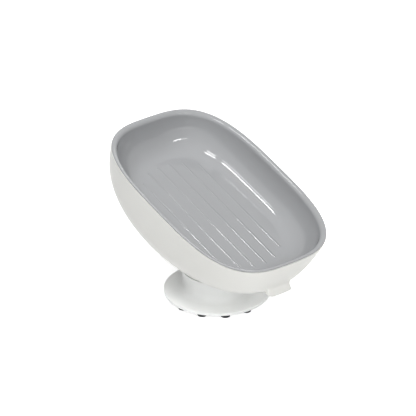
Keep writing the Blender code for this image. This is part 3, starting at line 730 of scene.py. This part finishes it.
def surface(name, colour, roughness, shade=0.012, bump=0.05, wear=0.02, metallic=0.0,
            specular=0.5):
    """A moulded finish: faint clouds in its colour, uneven gloss and a fine grain."""
    finish = bpy.data.materials.new(name)
    finish.use_nodes = True
    add = node_maker(finish)
    shader = finish.node_tree.nodes["Principled BSDF"]
    place = add("ShaderNodeTexCoord").outputs["Object"]
    clouds = add("ShaderNodeTexNoise", {"Vector": place, "Scale": CLOUD_SCALE, "Detail": 3.0})
    dark = tuple(part * (1 - shade) for part in colour)
    light = tuple(min(part * (1 + shade), 1.0) for part in colour)
    tint = add("ShaderNodeMix", {MIX_SHARE: clouds.outputs["Fac"], MIX_FIRST: (*dark, 1),
                                 MIX_SECOND: (*light, 1)}, data_type="RGBA")
    gloss = add("ShaderNodeTexNoise", {"Vector": place, "Scale": GLOSS_SCALE, "Detail": 5.0,
                                       "Roughness": 0.6})
    rough = add("ShaderNodeMapRange", {"Value": gloss.outputs["Fac"],
                                       "To Min": roughness - wear, "To Max": roughness + wear})
    fine = add("ShaderNodeTexNoise", {"Vector": place, "Scale": GRAIN_SCALE, "Detail": 2.0})
    relief = add("ShaderNodeBump", {"Height": fine.outputs["Fac"], "Strength": bump,
                                    "Distance": GRAIN_DEPTH})
    link = finish.node_tree.links.new
    link(tint.outputs[MIX_RESULT], shader.inputs["Base Color"])
    link(rough.outputs["Result"], shader.inputs["Roughness"])
    link(relief.outputs["Normal"], shader.inputs["Normal"])
    shader.inputs["Metallic"].default_value = metallic
    shader.inputs["IOR"].default_value = PLASTIC_IOR
    shader.inputs["Specular IOR Level"].default_value = specular
    return finish


SHELL_WHITE = surface("shell_white", (0.755, 0.755, 0.725), 0.3, specular=0.15)
PEDESTAL_WHITE = surface("pedestal_white", (0.94, 0.952, 0.942), 0.3, specular=0.25)
TRAY_GREY = surface("tray_grey", (0.342, 0.348, 0.357), 0.05, wear=0.015, bump=0.01)
CUP_RUBBER = surface("cup_rubber", (0.03, 0.03, 0.032), 0.42, shade=0.1, wear=0.06)
RING_RUBBER = surface("ring_rubber", (0.02, 0.02, 0.02), 0.7, shade=0.1)
ACETAL = surface("acetal", (0.74, 0.73, 0.69), 0.4)
SCREW_STEEL = surface("screw_steel", (0.6, 0.6, 0.6), 0.28, metallic=1.0)


# The pieces

def dress(item, finish, body, node):
    """Gives a piece its finish and the body it rides on, and hides the CAD node it stands for."""
    item.data.materials.clear()
    item.data.materials.append(finish)
    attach(item, body)
    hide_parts(node)


def repaint(node, finish):
    """Gives a CAD node that stays another finish."""
    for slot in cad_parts[node].material_slots:
        slot.material = finish


dress(make_shell(), SHELL_WHITE, "dish", "outer_shell")
dress(make_tray(), TRAY_GREY, "tray", "inner_tray")
dress(make_pedestal(), PEDESTAL_WHITE, "base", "pedestal")
for cup in range(CUP_COUNT):
    dress(make_cup(cup), CUP_RUBBER, "base", f"suction_cup_{cup + 1:02d}")
repaint("bearing_ring", ACETAL)
repaint("friction_ring", RING_RUBBER)
repaint("pivot_retainer", ACETAL)
repaint("pivot_screw", SCREW_STEEL)


# The camera: the view fitted to the photograph's rim, outline and base. Turn and rise in radians

CAMERA_TURN = 0.9018
CAMERA_RISE = 0.4797
CAMERA_DISTANCE = 1619.175 * MM
CAMERA_NEAREST = 0.1
CAMERA_FARTHEST = 20.0
PIXELS_AT_TARGET = 1.7194 / MM
IMAGE_PIXELS = 416
SENSOR_WIDTH = 36.0
AIM_RIGHT = -5.4114 * MM
AIM_UP = 10.8539 * MM
DISH_MIDDLE = Vector((BASE_FORWARD, 0, 45.0 * MM))


def direction(turn, rise):
    """A unit vector, from its turn about +Z from -Y and its rise, both in radians."""
    return Vector((math.sin(turn) * math.cos(rise), -math.cos(turn) * math.cos(rise),
                   math.sin(rise)))


def make_camera():
    """The camera, at the photograph's viewing angle."""
    back = direction(CAMERA_TURN, CAMERA_RISE)
    right = Vector((math.cos(CAMERA_TURN), math.sin(CAMERA_TURN), 0))
    aim = DISH_MIDDLE + AIM_RIGHT * right + AIM_UP * back.cross(right)
    camera = bpy.data.objects.new("camera", bpy.data.cameras.new("camera"))
    camera.data.sensor_width = SENSOR_WIDTH
    camera.data.lens = PIXELS_AT_TARGET * CAMERA_DISTANCE * SENSOR_WIDTH / IMAGE_PIXELS
    camera.data.clip_start = CAMERA_NEAREST
    camera.data.clip_end = CAMERA_FARTHEST
    camera.location = aim + CAMERA_DISTANCE * back
    camera.rotation_euler = (-back).to_track_quat("-Z", "Y").to_euler()
    bpy.context.scene.collection.objects.link(camera)
    bpy.context.scene.camera = camera


make_camera()


# The floor, the world and the lamps

FLOOR_HALF_WIDTH = 3
FLOOR_THICKNESS = 0.01
FLOOR_COLOUR = (0.8, 0.8, 0.8, 1)
FLOOR_ROUGHNESS = 0.9
FLOOR_LIFT = 0.68
AMBIENT = 0.05
WHITE = (1, 1, 1, 1)

# Tubes give the streaks in the tray. Fills only soften the shade: gloss shows the plain
# background instead of them. Each lamp has its turn to the camera's right and its rise in
# degrees, its distance, width and height in metres, and its power in watts
TUBES = {
    "tube_left": (-78.5, 64.5, 1.1, 0.33, 0.065, 2.1),
    "tube_left_lower": (-72, 55, 1.1, 0.34, 0.09, 0.6),
    "tube_front": (-34, 66.5, 1.1, 0.21, 0.06, 1.1),
    "tube_front_lower": (-37, 58, 1.1, 0.18, 0.15, 0.9),
    "tube_right": (42, 31, 1.3, 0.34, 0.12, 1.7),
    "tube_right_far": (27, 31, 1.3, 0.36, 0.08, 0.5),
    "tube_back": (158, 32, 1.3, 0.4, 0.07, 0.9),
}
FILLS = {
    "fill_front": (6, 36, 1.3, 0.8, 0.7, 7.5),
    "fill_low": (0, 13, 1.3, 0.7, 0.45, 2.2),
    "fill_top": (180, 88, 1.3, 0.8, 0.8, 5.6),
    "fill_back": (132, 13, 1.3, 0.7, 0.45, 4.4),
}


def background_share(add):
    """1 for rays from the camera, from gloss and through glass, 0 for the rest."""
    path = add("ShaderNodeLightPath")
    share = path.outputs["Is Camera Ray"]
    for ray in ("Is Glossy Ray", "Is Transmission Ray"):
        either = add("ShaderNodeMath", {0: share, 1: path.outputs[ray]}, operation="MAXIMUM")
        share = either.outputs[0]
    return share


def make_floor():
    """A pale floor that shows as white and keeps the dish's shadow."""
    corners = [(FLOOR_HALF_WIDTH * x, FLOOR_HALF_WIDTH * y)
               for x, y in ((1, 1), (-1, 1), (-1, -1), (1, -1))]
    floor = skin("floor", [[(x, y, z) for x, y in corners] for z in (0, -FLOOR_THICKNESS)])
    finish = bpy.data.materials.new("floor_white")
    finish.use_nodes = True
    add = node_maker(finish)
    shader = finish.node_tree.nodes["Principled BSDF"]
    shader.inputs["Base Color"].default_value = FLOOR_COLOUR
    shader.inputs["Roughness"].default_value = FLOOR_ROUGHNESS
    shader.inputs["Specular IOR Level"].default_value = 0.0
    shader.inputs["Emission Color"].default_value = WHITE
    lift = add("ShaderNodeMath", {0: background_share(add), 1: FLOOR_LIFT}, operation="MULTIPLY")
    finish.node_tree.links.new(lift.outputs[0], shader.inputs["Emission Strength"])
    floor.data.materials.append(finish)


def make_world():
    """A white background, and a faint even light on the dish."""
    world = bpy.data.worlds.new("studio")
    bpy.context.scene.world = world
    world.use_nodes = True
    world.node_tree.nodes.clear()
    add = node_maker(world)
    ambient = add("ShaderNodeBackground", {"Color": WHITE, "Strength": AMBIENT})
    white = add("ShaderNodeBackground", {"Color": WHITE, "Strength": 1.0})
    mix = add("ShaderNodeMixShader", {0: background_share(add), 1: ambient.outputs[0],
                                      2: white.outputs[0]})
    add("ShaderNodeOutputWorld", {"Surface": mix.outputs[0]})


def make_lamp(name, turn, rise, distance, width, height, power, in_gloss):
    """A soft box that faces the dish."""
    way = direction(CAMERA_TURN + math.radians(turn), math.radians(rise))
    light = bpy.data.lights.new(name, "AREA")
    light.shape = "RECTANGLE"
    light.size = width
    light.size_y = height
    light.energy = power
    item = bpy.data.objects.new(name, light)
    item.location = DISH_MIDDLE + distance * way
    item.rotation_euler = way.to_track_quat("Z", "Y").to_euler()
    item.visible_camera = False
    item.visible_glossy = in_gloss
    bpy.context.scene.collection.objects.link(item)


make_floor()
make_world()
for name, numbers in TUBES.items():
    make_lamp(name, *numbers, in_gloss=True)
for name, numbers in FILLS.items():
    make_lamp(name, *numbers, in_gloss=False)
bpy.context.scene.view_settings.view_transform = "Standard"
